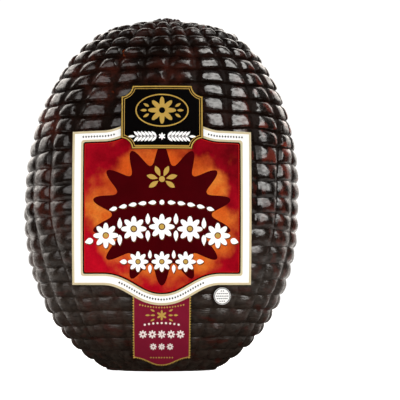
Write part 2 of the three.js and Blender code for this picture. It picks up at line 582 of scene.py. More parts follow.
    def _wetness(self, graph: Graph, side: Socket, height: Socket, dry: Socket, swell: Socket) -> Socket:
        """Works out the wet coat: full on the belly, less near the foot and in the upper middle.

        In the upper part little of it lies in the grooves.

        Args:
            graph: the material's graph.
            side: the place across the ham.
            height: the place up the ham.
            dry: the mask near the foot, where the meat is drier and its paler grey-brown partly a painted
                sheen.
            swell: the mask of the pillows' swollen part.

        Returns:
            The coat's weight.
        """
        upper = graph.ranged(height, self.upper_wet)
        top = graph.ranged(height, self.crown, (1.0, self.crown_bareness))
        bare = graph.product(upper, top, graph.math("SUBTRACT", 1.0, swell))
        off_middle = graph.math("ABSOLUTE", graph.math("SUBTRACT", side, self.middle))
        thinner = graph.product(graph.ranged(off_middle, self.near_middle), upper, self.middle_wet_loss)
        wet, thick = (graph.math("SUBTRACT", 1.0, share) for share in (bare, thinner))
        return graph.product(wet, thick, graph.line(dry, -self.foot_wet_loss, 1.0))


def film_grain(graph: Graph, at: Socket) -> Socket:
    """Returns the normal of printed film, which is smooth with a fine grain."""
    values = {"scale": 160.0, "fine_scale": 2600.0, "fine_share": 0.2, "height": 0.00003}
    return graph.place(ripple_group(), at, **values)


@dataclass(frozen=True)
class Ink:
    """One printed colour on smooth film."""

    name: str
    colour: Colour
    variation: float = 0.06
    roughness: float = 0.5
    mottle: Patches = Patches(90.0, 4.0, 0.0, 0.5, 0.35)

    def material(self) -> bpy.types.Material:
        """Builds the ink, with a faint unevenness and the film's fine grain.

        Returns:
            The material.
        """
        material, graph, sockets, at = new_material(self.name, Specular_IOR_Level=0.005)
        mottle = self.mottle.mask(graph, at)
        darker = tuple(level * (1 - self.variation) for level in self.colour)
        graph.feed(sockets["Base Color"], graph.blend(mottle, self.colour, darker))
        rough = graph.ranged(mottle, (0.0, 1.0), (self.roughness, self.roughness + 0.08))
        graph.feed(sockets["Roughness"], rough)
        graph.feed(sockets["Normal"], film_grain(graph, at))
        return material


@dataclass(frozen=True)
class Watercolour:
    """A printed field of clouded reds, woven like cloth, that break into orange round its middle.

    Each share is how much of the lighter red its cloud or place brings. Orange shows where the glow's
    noise passes a bound, which is lower round the middle.
    """

    deep: Colour = srgb(96, 0, 9)
    red: Colour = srgb(190, 12, 34)
    orange: Colour = srgb(206, 84, 26)
    amber: Colour = srgb(222, 138, 54)
    weave: Colour = (0.42, 0.42, 0.42)
    broad: Patches = Patches(26.0, 6.0, 2.0, 0.5, 0.2)
    small: Patches = Patches(120.0, 5.0, 5.0, 0.5, 0.3)
    glow: Patches = Patches(38.0, 7.0, 9.3, 0.5, 0.15)
    cloth: Patches = Patches(650.0, 2.0, 13.0, 0.5, 0.25)
    middle: Triple = (0.0, 0.0, 131 * MM)
    round_middle: Span = (78 * MM, 46 * MM)
    lower_part: Span = (190 * MM, 70 * MM)
    left_side: Span = (75 * MM, -75 * MM)
    broad_share: float = 0.35
    small_share: float = 0.3
    lower_share: float = 0.35
    right_share: float = -0.16
    left_share: float = 0.2
    outer_bound: float = 0.78
    middle_bound: float = 0.36
    cloth_depth: float = 0.3

    def material(self) -> bpy.types.Material:
        """Builds the field: clouds pick the red, deeper at the top and right, and others the orange.

        Returns:
            The material.
        """
        constants = {"Roughness": 0.5, "Specular_IOR_Level": 0.005}
        material, graph, sockets, at = new_material("clouded_red", **constants)
        broad, small = self.broad.mask(graph, at), self.small.mask(graph, at)
        side, _, height = graph.add("SeparateXYZ", {0: at}).outputs
        share = graph.line(small, self.small_share, graph.product(broad, self.broad_share))
        sideways = graph.ranged(side, self.left_side, (self.right_share, self.left_share))
        share = graph.math("ADD", share, sideways)
        share = graph.line(graph.ranged(height, self.lower_part), self.lower_share, share)
        reds = graph.blend(share, self.deep, self.red)
        flat = graph.add("VectorMath", {0: at, 1: (1.0, 0.0, 1.0)}, operation="MULTIPLY").outputs[0]
        away = graph.add("VectorMath", {0: flat, 1: self.middle}, operation="DISTANCE").outputs["Value"]
        bound = graph.ranged(away, self.round_middle, (self.outer_bound, self.middle_bound))
        glow = self.glow.mask(graph, at, threshold=bound)
        warm = graph.blend(graph.product(small, broad), self.orange, self.amber)
        cloth = graph.product(self.cloth.mask(graph, at), self.cloth_depth)
        woven = graph.blend(cloth, graph.blend(glow, reds, warm), self.weave, "MULTIPLY")
        graph.feed(sockets["Base Color"], woven)
        graph.feed(sockets["Normal"], film_grain(graph, at))
        return material


class Print(Enum):
    """Every printed finish of the labels."""

    WHITE = Ink("white_film", srgb(250, 250, 249), 0.01)
    TAN = Ink("tan_ink", srgb(207, 192, 156))
    BLACK = Ink("black_ink", srgb(5, 4, 4), 0.2)
    ORANGE = Ink("orange_ink", srgb(176, 30, 22))
    MAROON = Ink("maroon_ink", srgb(66, 1, 6), 0.25)
    BRONZE = Ink("bronze_ink", srgb(96, 52, 22))
    GOLD = Ink("gold_ink", srgb(190, 155, 76), 0.12, 0.34)
    WINE = Ink("wine_ink", srgb(124, 26, 48), 0.12)
    CREAM = Ink("cream_ink", srgb(242, 228, 224))
    GREY = Ink("grey_ink", srgb(52, 52, 56))
    FIELD = Watercolour()


# ---------------------------------------------------------------- the ham's form


@dataclass
class ArcTable:
    """Finds the place along an outline at a share of its length."""

    point: Callable[[float], Point]
    steps: int = 3000
    lengths: list[float] = field(default_factory=list)

    def __post_init__(self) -> None:
        """Measures the outline once, by short straight steps."""
        self.lengths = [0.0]
        last = self.point(0.0)
        for step in range(1, self.steps + 1):
            here = self.point(step / self.steps)
            self.lengths.append(self.lengths[-1] + math.dist(last, here))
            last = here

    def at(self, share: float) -> Point:
        """Finds a point by its way along the outline.

        Args:
            share: the way, 0 to 1, as a share of the outline's length.

        Returns:
            The point.
        """
        target = share * self.lengths[-1]
        step = min(self.steps, max(1, bisect.bisect_left(self.lengths, target)))
        low, high = self.lengths[step - 1], self.lengths[step]
        part = (target - low) / (high - low) if high > low else 0.0
        return self.point((step - 1 + part) / self.steps)


@dataclass
class Envelope:
    """The ham's smooth outside over its pillows, a squared-off egg with a flat foot."""

    height: float
    width: float
    depth: float
    swell: float = 0.0
    belly_share: float = 141 / 310
    foot_share: float = 97 / 242
    shoulder_power: float = 2.25
    heel_power: float = 2.1
    crown_lean: float = 4.4 * MM

    def __post_init__(self) -> None:
        """Works out the reaches above and below the belly."""
        self.belly = self.height * self.belly_share
        power = self.heel_power
        self.heel_reach = self.belly / (1 - self.foot_share**power) ** (1 / power) + self.swell
        self.shoulder_reach = self.height - self.belly + self.swell
        self.half_width = self.width / 2 + self.swell
        self.half_depth = self.depth / 2 + self.swell

    def girth(self, z: float) -> float:
        """Works out the girth at a level.

        Args:
            z: the level's height.

        Returns:
            The girth, as a share of the belly's.
        """
        upper = z > self.belly
        reach = self.shoulder_reach if upper else self.heel_reach
        power = self.shoulder_power if upper else self.heel_power
        way = abs(z - self.belly) / reach
        return max(0.0, 1 - way**power) ** (1 / power)

    def lean(self, z: float) -> float:
        """Returns how far the level at height z has moved to +X."""
        return self.crown_lean * smoothstep(z, self.belly, self.height)

    def point(self, angle: float, z: float, lift: float = 0.0) -> Vector:
        """Works out a point of the outside.

        Args:
            angle: its direction round the ham, from +X towards +Y.
            z: its height.
            lift: how far it is moved outward.

        Returns:
            The point.
        """
        girth, step = self.girth(z), 0.5 * MM
        slope = (self.girth(z + step) - self.girth(z - step)) / (2 * step)
        normal = Vector((math.cos(angle) / self.half_width, math.sin(angle) / self.half_depth, -slope))
        x = self.lean(z) + self.half_width * girth * math.cos(angle)
        return Vector((x, self.half_depth * girth * math.sin(angle), z)) + normal.normalized() * lift

    def front(self, x: float, z: float) -> float:
        """Finds the front's surface.

        Args:
            x: the place across.
            z: the height.

        Returns:
            Its y there.
        """
        girth = self.girth(z)
        across = (x - self.lean(z)) / (self.half_width * girth)
        return -self.half_depth * girth * math.sqrt(max(0.0, 1 - across**2))

    def swollen(self, swell: float) -> Envelope:
        """Returns the same outside pushed out evenly."""
        return Envelope(self.height, self.width, self.depth, swell)


@dataclass(frozen=True)
class Pillow:
    """How one cell of the net has swollen: its rise, as a share of the usual, and how it leans."""

    rise: float
    lean_across: float
    lean_up: float


@dataclass(frozen=True)
class Relief:
    """The form that every pillow of a level shares.

    The powers say how flat a pillow's middle is, across and up. The bows add a slow swelling between two
    cords, sag moves the fullest part down, and taper narrows and rounding rounds the upper part. The
    shares say how deep the upright cords and the level ones bite, as shares of the rise.
    """

    across_power: float
    up_power: float
    rise: float
    cord_bow: float
    row_bow: float
    sag: float
    taper: float
    rounding: float
    cord_share: float
    row_share: float

    def towards(self, other: Relief, share: float) -> Relief:
        """Returns the form at a share of the way to another."""
        return Relief(*(a + (b - a) * share for a, b in zip(astuple(self), astuple(other))))


@dataclass(frozen=True)
class Wave:
    """One wave in the net's cords: its size in cells, and how its phase grows round and up the ham."""

    size: float
    per_turn: float
    per_row: float
    start: float = 0.0

    def at(self, turn: float, row: float) -> float:
        """Returns the wave's height at a turn and a row."""
        return self.size * math.sin(self.per_turn * turn + self.per_row * row + self.start)


@dataclass
class HamBody:
    """The netted ham: pillows between the grooves that the cords left.

    Places on it are given in columns, counted round from the front, and in rows, counted up from the
    foot. Sway moves the upright cords sideways and bob moves the level ones up.
    """

    envelope: Envelope
    columns: int = 26
    rows: int = 28
    steps: int = 10
    edge_bias: float = 0.5
    first_cord: float = 0.15
    sway: tuple[Wave, ...] = (Wave(0.08, 5, 0.9), Wave(0.06, 9, -0.5, 1.0))
    bob: tuple[Wave, ...] = (Wave(0.06, 4, 1.1), Wave(0.05, 11, -0.8))
    side_tilt: float = 0.16
    front_rise: float = 0.4
    front_rise_row: float = 3.5
    front_rise_reach: float = 3.0
    front_spread: float = 0.15
    heel_squeeze: float = 0.3
    heel_rows: Span = (8.0, 3.0)
    joined_rows: int = 3
    knot_rows: float = 0.55
    knot_rise: float = 4.0 * MM
    groove_depth: float = 3.9 * MM
    crown_sink: float = 5.5 * MM
    sink_rows: Span = (4.5, 1.0)
    crown_peak: float = 5.0 * MM
    peak_rows: float = 1.8
    foot_sink: float = 1.6 * MM
    foot_bite: float = 0.6
    foot_rows: float = 4.5
    crown_starts: Span = (12.0, 18.0)
    cap_starts: Span = (18.5, 22.5)
    edge_reach: float = 1.7
    cap_edge_loss: float = 1.2
    belly: Relief = Relief(2.3, 3.0, 2.1 * MM, 0.8 * MM, 0.7 * MM, 0.1, 0.0, 0.0, 1.0, 0.85)
    crown: Relief = Relief(9.0, 6.0, 2.3 * MM, 0.2 * MM, 0.3 * MM, 0.36, 0.4, 4.5, 0.8, 1.0)
    cap: Relief = Relief(6.0, 2.3, 3.3 * MM, 0.3 * MM, 0.7 * MM, 0.12, 0.2, 3.0, 0.75, 1.0)
    clouds: tuple[tuple[str, float, float], ...] = (
        ("slow", 22 * MM, 1.0 * MM),
        ("quick", 6 * MM, 0.5 * MM),
        ("fine", 2.6 * MM, 0.2 * MM),
    )
    finish: Glaze = Glaze()
    seed: int = 11
    pillow_rises: Span = (0.86, 1.1)
    pillow_lean: float = 0.18

    def __post_init__(self) -> None:
        """Measures the outlines along which the net is evenly spaced and deals out the pillows."""
        self.side = ArcTable(self._side_point)
        self.waist = ArcTable(self._waist_point)
        self.knot = self.rows - self.knot_rows
        dice = random.Random(self.seed)
        ranges = (self.pillow_rises, *[(-self.pillow_lean, self.pillow_lean)] * 2)
        self.pillows = [
            [Pillow(*(dice.uniform(*span) for span in ranges)) for _ in range(self.columns)]
            for _ in range(self.rows)
        ]

    def _side_point(self, share: float) -> Point:
        """Returns the side outline's point, foot to crown."""
        z = self.envelope.height * (1 - (1 - share) ** 2)
        return self.envelope.half_width * self.envelope.girth(z), z

    def _waist_point(self, share: float) -> Point:
        """Returns the belly outline's point, from the front's middle round by +X."""
        turn = 2 * math.pi * share - math.pi / 2
        return self.envelope.half_width * math.cos(turn), self.envelope.half_depth * math.sin(turn)

    def netted(self, column: float, row: float, lift: float) -> Vector:
        """Finds a place of the net on the ham, with the net's unevenness.

        Args:
            column: the place round the ham, in columns.
            row: the place up the ham, in rows.
            lift: how far it is lifted off the smooth outside.

        Returns:
            The point.
        """
        turn = 2 * math.pi * column / self.columns
        slack = max(0.0, math.sin(math.pi * row / self.rows)) ** 0.5
        upper = smoothstep(row, self.rows * 0.25, self.rows * 0.6)
        drift = upper - self.heel_squeeze * smoothstep(row, *self.heel_rows)
        spread = self.front_spread * drift * math.sin(turn) * self.columns / (2 * math.pi)
        sway, bob = (sum(wave.at(turn, row) for wave in waves) for waves in (self.sway, self.bob))
        beside = (row - self.front_rise_row) / self.front_rise_reach
        bow = math.cos(turn) ** 2 * math.exp(-(beside**2))
        share = ((column + self.first_cord + spread + slack * sway) / self.columns) % 1.0
        x, y = self.waist.at(share)
        angle = math.atan2(y / self.envelope.half_depth, x / self.envelope.half_width)
        height = row + slack * (bob + self.side_tilt * math.sin(turn) + self.front_rise * bow)
        z = self.side.at(min(1.0, max(0.0, height / self.rows)))[1]
        return self.envelope.point(angle, z, lift)

    def _groove(self, row: float) -> tuple[float, float]:
        """Works out the grooves at a level.

        The net bites less where the ham's weight rests, the crown sinks in and its middle rises again.

        Args:
            row: the place up the ham, in rows.

        Returns:
            A groove's lift, and how deep the net bites, as a share.
        """
        bite = self.foot_bite + (1 - self.foot_bite) * smoothstep(row, 0.0, self.foot_rows)
        groove = -self.groove_depth * bite - self.foot_sink * (1 - bite)
        groove -= self.crown_sink * smoothstep(row, *(self.rows - down for down in self.sink_rows))
        groove += self.crown_peak * smoothstep(row, self.rows - self.peak_rows, self.rows)
        return groove, bite

    def _lift(self, column: float, row: float) -> tuple[float, float]:
        """Works out the relief at a place of the net.

        Args:
            column: the place round the ham, in columns.
            row: the place up the ham, in rows.

        Returns:
            How far the meat stands off the smooth outside, and how far inside its pillow the place lies,
            from 0 on a cord's line.
        """
        groove, bite = self._groove(row)
        if row >= self.knot:
            way = (row - self.knot) / self.knot_rows
            return groove + self.knot_rise * (1 - (1 - way) ** 2), 1.0
        wide = 2 if row >= self.rows - self.joined_rows else 1
        low = min(math.floor(row), self.rows - 1)
        high = min(low + 1, self.knot)
        left = math.floor(column / wide) * wide
        across = 2 * (column - left) / wide - 1
        up = 2 * (row - low) / (high - low) - 1
        pillow = self.pillows[low][left % self.columns]
        capped = smoothstep(row, *self.cap_starts)
        form = self.belly.towards(self.crown, smoothstep(row, *self.crown_starts))
        form = form.towards(self.cap, capped)
        sagged = up + form.sag * (1 - up * up)
        high_share = 0.5 + 0.5 * up
        narrowed = min(1.0, abs(across) * (1 + form.taper * high_share))
        beside = narrowed ** (form.across_power - form.rounding * high_share)
        above = abs(sagged) ** form.up_power
        dome = form.rise * pillow.rise * (1 - form.row_share * above) * (1 - form.cord_share * beside)
        dome *= 1 + pillow.lean_across * across + pillow.lean_up * up
        bows = form.row_bow * (1 - sagged**2) + form.cord_bow * (1 - across**2)
        inward = min(1 - narrowed, (self.edge_reach - self.cap_edge_loss * capped) * (1 + up))
        return groove + bite * (dome + bows), inward

    def _biased(self, place: float) -> float:
        """Moves a place towards the nearest cord, so that the mesh is finest at the grooves.

        Args:
            place: a place in columns or rows.

        Returns:
            The new place.
        """
        cell = math.floor(place)
        across = 2 * (place - cell) - 1
        eased = (1 - self.edge_bias) * across + self.edge_bias * math.sin(math.pi / 2 * across)
        return cell + (eased + 1) / 2

    def _place(self, column: float, ring: float) -> tuple[Vector, float]:
        """Works out a point of the ham.

        Args:
            column: the place round the ham, in columns.
            ring: 0 is the foot's middle, 1 its rim and the last ring the crown.

        Returns:
            The point, and how far inside its pillow it lies.
        """
        if ring < 1:
            rim, inward = self._place(column, 1)
            return Vector((rim.x * ring, rim.y * ring, 0.0)), inward
        row = ring - 1
        below = self.rows - 1
        if row < below:
            row = self._biased(row)
        elif row <= self.rows:
            row = below + (row - below) * (self.knot - below)
        else:
            row = self.knot + (row - self.rows) * self.knot_rows
        column = self._biased(column)
        lift, inward = self._lift(column, row)
        point = self.netted(column, row, lift)
        if ring == 1:
            point.z = 0.0
        return point, inward

    def build(self) -> None:
        """Models the ham, glazes it and hands it to the frame."""
        ham = self._netted_sphere()
        for name, size, strength in self.clouds:
            texture = bpy.data.textures.new(name, "CLOUDS")
            texture.noise_scale = size
            texture.noise_depth = 1
            apply_modifier(ham, "DISPLACE", texture=texture, strength=strength, mid_level=0.5)
        for vertex in ham.data.vertices:
            vertex.co.z = max(0.0, vertex.co.z)
        smooth(ham, 50)
        ham.data.materials.clear()
        ham.data.materials.append(self.finish.material())
        settle(ham, "glazed_meat", "ham")

    def _netted_sphere(self) -> bpy.types.Object:
        """Adds a sphere with even steps between the cords and moves its points to the netted form.

        Returns:
            The piece, with its inward attribute.
        """
        deselect()
        rings = (self.rows + 2) * self.steps
        segments = self.columns * self.steps
        radius = self.envelope.height / 2
        bpy.ops.mesh.primitive_uv_sphere_add(
            segments=segments, ring_count=rings, radius=radius, location=(0, 0, 0)
        )
        ham = bpy.context.active_object
        ham.name = "glazed_ham_body"
        inward = ham.data.attributes.new("inward", "FLOAT", "POINT").data
        for vertex in ham.data.vertices:
            x, y, z = vertex.co
            ring = round(math.acos(max(-1.0, min(1.0, -z / radius))) / math.pi * rings) / self.steps
            column = round(math.atan2(-x, y) / (2 * math.pi) % 1.0 * segments) / self.steps
            vertex.co, inward[vertex.index].value = self._place(column, ring)
        return ham


# ---------------------------------------------------------------- flat outlines


def ellipse(centre: Point, radii: Point, steps: int = 48) -> Outline:
    """Returns an ellipse."""
    turns = [2 * math.pi * step / steps for step in range(steps)]
    return [(centre[0] + radii[0] * math.cos(t), centre[1] + radii[1] * math.sin(t)) for t in turns]


def dot(centre: Point, radius: float, steps: int = 24) -> Outline:
    """Returns a circle."""
    return ellipse(centre, (radius, radius), steps)


def rosette(centre: Point, outer: float, inner: float, petals: int, power: float = 1.0) -> Outline:
    """Draws a flower.

    Args:
        centre: its middle.
        outer: the radius at the petals' tips.
        inner: the radius between petals.
        petals: how many petals.
        power: below 1 the petals are round, above 1 they are pointed.

    Returns:
        The outline.
    """
    points = []
    steps = petals * 28
    for step in range(steps):
        turn = 2 * math.pi * step / steps
        swell = (0.5 + 0.5 * math.cos(petals * turn)) ** power
        radius = inner + (outer - inner) * swell
        points.append((centre[0] + radius * math.sin(turn), centre[1] + radius * math.cos(turn)))
    return points


def leaf(centre: Point, length: float, width: float, turn: float, belly: float = 0.45) -> Outline:
    """Draws a pointed leaf.

    Args:
        centre: its middle.
        length: its length, along +Z when turn is 0.
        width: its greatest width.
        turn: how far it is turned clockwise, in degrees.
        belly: where along it the greatest width lies, as a share.

    Returns:
        The outline.
    """
    steps = 12
    side = []
    for step in range(steps + 1):
        share = step / steps
        eased = share ** (math.log(0.5) / math.log(belly))
        side.append((0.5 * width * math.sin(math.pi * eased) ** 0.85, (share - 0.5) * length))
    return moved(side + [(-x, z) for x, z in reversed(side[1:-1])], centre, turn)


def spray(
    centre: Point, turns: Iterable[float], reach: Point, size: Point, belly: float = 0.45
) -> list[Outline]:
    """Draws leaves that point outward round a centre.

    Args:
        centre: the middle.
        turns: each leaf's way out, in degrees clockwise from up.
        reach: how far out the leaves' middles lie, across and up.
        size: a leaf's length and width.
        belly: where along a leaf its greatest width lies, as a share.

    Returns:
        The leaves' outlines.
    """
    leaves = []
    for turn in turns:
        way = math.radians(turn)
        middle = (centre[0] + math.sin(way) * reach[0], centre[1] + math.cos(way) * reach[1])
        leaves.append(leaf(middle, *size, turn, belly))
    return leaves


def lozenge(centre: Point, width: float, height: float) -> Outline:
    """Draws a diamond.

    Args:
        centre: its middle.
        width: its width.
        height: its height.

    Returns:
        The outline.
    """
    half = (0.5 * width, 0.5 * height)
    corners = [(half[0], 0.0), (0.0, half[1]), (-half[0], 0.0), (0.0, -half[1])]
    return moved(divided(corners, lambda length: 8), centre)


def beads(centre: Point, half: float, count: int, size: Point, rise: float = 0.0) -> list[Outline]:
    """Returns a row of small diamonds round a centre, whose ends may rise over its middle."""
    places = [(centre[0] + x, centre[1] + rise * (x / half) ** 2) for x in along(half, count)]
    return [lozenge(place, *size) for place in places]


def daisy(centre: Point, radius: float) -> list[Outline]:
    """Returns a flower of eight petals round an open heart."""
    return [rosette(centre, radius, 0.56 * radius, 8, 0.6), dot(centre, 0.27 * radius)]


def moved(points: Iterable[Point], centre: Point, turn: float = 0.0) -> Outline:
    """Returns points turned clockwise by turn degrees, then moved to a centre."""
    c, s = math.cos(math.radians(turn)), math.sin(math.radians(turn))
    return [(centre[0] + x * c + z * s, centre[1] - x * s + z * c) for x, z in points]


def along(half: float, count: int) -> list[float]:
    """Returns evenly spaced places from -half to half."""
    return [half * (2 * index / (count - 1) - 1) for index in range(count)]


def between(start: Point, end: Point, share: float) -> Point:
    """Returns the point at a share of the way from start to end."""
    return start[0] + (end[0] - start[0]) * share, start[1] + (end[1] - start[1]) * share


def edges(points: Outline) -> Iterable[tuple[Point, Point]]:
    """Returns the two ends of each side of a closed outline."""
    return zip(points, [*points[1:], points[0]])


def divided(points: Outline, pieces: Callable[[float], int]) -> Outline:
    """Cuts each side of a closed outline into even pieces.

    Args:
        points: the outline.
        pieces: says how many pieces a side of a given length has.

    Returns:
        The outline with the new points.
    """
    result = []
    for here, following in edges(points):
        count = pieces(math.dist(here, following))
        result += [between(here, following, step / count) for step in range(count)]
    return result


def walk(points: Outline, pitch: float) -> Outline:
    """Walks along a closed outline in even steps.

    Args:
        points: the outline.
        pitch: the step's length.

    Returns:
        The places.
    """
    places, left = [], 0.0
    for here, following in edges(points):
        length = math.dist(here, following)
        while left < length:
            places.append(between(here, following, left / length))
            left += pitch
        left -= length
    return places


def bezier(start: Point, first: Point, second: Point, end: Point, steps: int = 18) -> Outline:
    """Draws a cubic curve.

    Args:
        start: where it starts.
        first: the point that it leaves towards.
        second: the point that it arrives from.
        end: where it ends.
        steps: how many points it has.

    Returns:
        Its points, without the end.
    """
    points = []
    for step in range(steps):
        t = step / steps
        weights = ((1 - t) ** 3, 3 * t * (1 - t) ** 2, 3 * t * t * (1 - t), t**3)
        pulls = list(zip(weights, (start, first, second, end)))
        points.append(tuple(sum(weight * corner[axis] for weight, corner in pulls) for axis in (0, 1)))
    return points


def _left_of(start: Point, end: Point) -> Point:
    """Returns the unit step to the left of the way from start to end."""
    length = math.dist(start, end) or 1.0
    return -(end[1] - start[1]) / length, (end[0] - start[0]) / length


def _corners(points: Outline) -> Iterable[tuple[Point, Point, Point]]:
    """Returns each corner of a closed outline with the left-hand steps of the sides that meet there."""
    for before, here, after in zip([points[-1], *points], points, [*points[1:], points[0]]):
        yield here, _left_of(before, here), _left_of(here, after)


def inset(points: Outline, distance: float, radius: float = 0.0) -> Outline:
    """Moves an anticlockwise outline inward.

    Args:
        points: the outline.
        distance: how far it moves, inward when positive.
        radius: how far its outward corners are rounded.

    Returns:
        The new outline.
    """
    if radius > 0:
        return _rounded(inset(points, distance + radius), radius)
    result = []
    for (x, z), first, second in _corners(points):
        spread = 1 + first[0] * second[0] + first[1] * second[1]
        shift = distance / max(spread, 0.2)
        result.append((x + (first[0] + second[0]) * shift, z + (first[1] + second[1]) * shift))
    return result


def _rounded(points: Outline, radius: float) -> Outline:
    """Moves an anticlockwise outline outward, with arcs round its sharp outward corners.

    Args:
        points: the outline.
        radius: how far it moves, and the arcs' radius.

    Returns:
        The new outline.
    """
    result = []
    for (x, z), first, second in _corners(points):
        turned = first[0] * second[1] - first[1] * second[0]
        bend = math.atan2(turned, first[0] * second[0] + first[1] * second[1])
        start = math.atan2(-first[1], -first[0])
        if bend > math.radians(20):
            ways, reach = [start + bend * step / 6 for step in range(7)], radius
        else:
            ways, reach = [start + bend / 2], radius / math.cos(bend / 2)
        result += [(x + reach * math.cos(way), z + reach * math.sin(way)) for way in ways]
    return result


def ribbon(points: Outline, width: float) -> Outline:
    """Draws a strip along an open line, tapered to its end.

    Args:
        points: the line.
        width: the strip's width at its start.

    Returns:
        The strip's closed outline.
    """
    left, right = [], []
    last = len(points) - 1
    for index, here in enumerate(points):
        way = _left_of(points[max(0, index - 1)], points[min(last, index + 1)])
        half = 0.5 * width * (1 - 0.6 * index / last)
        left.append((here[0] + way[0] * half, here[1] + way[1] * half))
        right.append((here[0] - way[0] * half, here[1] - way[1] * half))
    return right + left[::-1]


@dataclass(frozen=True)
class Branches:
    """Two straight leafy branches that run left and right from a small flower."""

    centre: Point
    half: float
    leaf_size: Point
    pairs: int
    spread: float = 44.0

    def loops(self) -> list[Outline]:
        """Draws the flower, the stems and the leaves.

        Returns:
            Their outlines.
        """
        length, width = self.leaf_size
        heart = 0.52 * length
        first = heart + 0.25 * length
        pitch = (self.half - first - length) / (self.pairs - 1)
        loops = [rosette((0, 0), heart, 0.5 * heart, 6, 0.8)]
        for side in SIDES:
            stem = [(side * (first + pitch * self.pairs * step / 12), 0.0) for step in range(13)]
            loops.append(ribbon(stem, 0.2 * width))
            places = [first + pitch * index for index in range(self.pairs)]
            leaves = [(place, 90 - up * self.spread) for place in places for up in SIDES]
            for place, turn in [*leaves, (abs(stem[-1][0]), 90.0)]:
                reach = 0.5 * length + 0.22 * width
                loops += spray((side * place, 0.0), [side * turn], (reach, reach), self.leaf_size, 0.46)
        return [moved(loop, self.centre) for loop in loops]


# ---------------------------------------------------------------- the labels


@dataclass(frozen=True)
class Layer:
    """One film of a label.

    Attributes:
        name: the piece's name.
        loops: closed outlines as x and height; one inside another is a hole.
        level: how many steps its face lies over the stock's, 0 for the stock itself.
        ink: its finish.
        thickness: how thick it is, inward from its face.
    """

    name: str
    loops: Sequence[Outline]
    level: int
    ink: Print
    thickness: float = 0.1 * MM


@dataclass
class Film:
    """Cuts flat shapes and lays them on the ham's front, one film over another."""

    envelope: Envelope
    inks: dict[Print, bpy.types.Material]
    grid: float = 3 * MM

    def lay(self, layer: Layer, lift: float) -> bpy.types.Object:
        """Makes one film.

        Args:
            layer: what the film is.
            lift: how far its face lies outside the ham.

        Returns:
            The piece.
        """
        film = self._cut(layer)
        self._score(film, layer)
        face = self.envelope.swollen(lift)
        for vertex in film.data.vertices:
            x, z, _ = vertex.co
            vertex.co = (x, face.front(x, z), z)
        apply_modifier(film, "SOLIDIFY", thickness=layer.thickness, offset=-1.0)
        smooth(film, 30)
        film.data.materials.append(self.inks[layer.ink])
        return film

    @staticmethod
    def _cut(layer: Layer) -> bpy.types.Object:
        """Turns a layer's outlines into one flat mesh that lies in the XY plane.

        Args:
            layer: what the film is.

        Returns:
            The flat piece.
        """
        outline = bpy.data.curves.new(layer.name, "CURVE")
        outline.dimensions = "2D"
        outline.fill_mode = "BOTH"
        for loop in layer.loops:
            spline = outline.splines.new("POLY")
            spline.points.add(len(loop) - 1)
            for point, (x, z) in zip(spline.points, loop):
                point.co = (x, z, 0.0, 1.0)
            spline.use_cyclic_u = True
        film = bpy.data.objects.new(layer.name, outline)
        bpy.context.collection.objects.link(film)
        take(film)
        bpy.ops.object.convert(target="MESH")
        return bpy.context.active_object

    def _score(self, film: bpy.types.Object, layer: Layer) -> None:
        """Cuts a flat mesh along an even grid, so that it can bend, and turns all its faces up.

        Args:
            film: the flat piece.
            layer: what the film is.
        """
        lines = []
        for axis in (0, 1):
            places = [point[axis] for loop in layer.loops for point in loop]
            low, high = math.ceil(min(places) / self.grid), math.floor(max(places) / self.grid)
            lines += [(axis, line * self.grid) for line in range(low, high + 1)]

        def merge() -> None:
            """Joins the fill's triangles into whole faces."""
            bpy.ops.mesh.dissolve_limited(angle_limit=math.radians(1))

        def bisect_all() -> None:
            """Cuts all the faces along every line of the grid."""
            for axis, place in lines:
                co, no = [0.0, 0.0, 0.0], [0.0, 0.0, 0.0]
                co[axis], no[axis] = place, 1.0
                bpy.ops.mesh.select_all(action="SELECT")
                bpy.ops.mesh.bisect(plane_co=co, plane_no=no)

        pick_faces(film, lambda face: True)
        edit_faces(film, merge, bisect_all)
        if pick_faces(film, lambda face: face.normal.z < 0):
            edit_faces(film, bpy.ops.mesh.flip_normals)


@dataclass
class Label:
    """A printed label: a stock film with inks over it, each a film of its own.

    Attributes:
        film: what cuts and lays its films.
        slot: the frame's material slot.
        node: the CAD node that the stock stands for.
        lift: how far the stock's face lies outside the ham.
        step: how far one level of ink lies over the one before.
    """

    film: Film
    slot: str
    node: str
    lift: float
    step: float

    def layers(self) -> list[Layer]:
        """Returns the label's films, the stock first."""
        raise NotImplementedError

    def build(self) -> None:
        """Lays the label's films and hands them to the frame."""
        for layer in self.layers():
            piece = self.film.lay(layer, self.lift + layer.level * self.step)
            settle(piece, self.slot, *([] if layer.level else [self.node]))


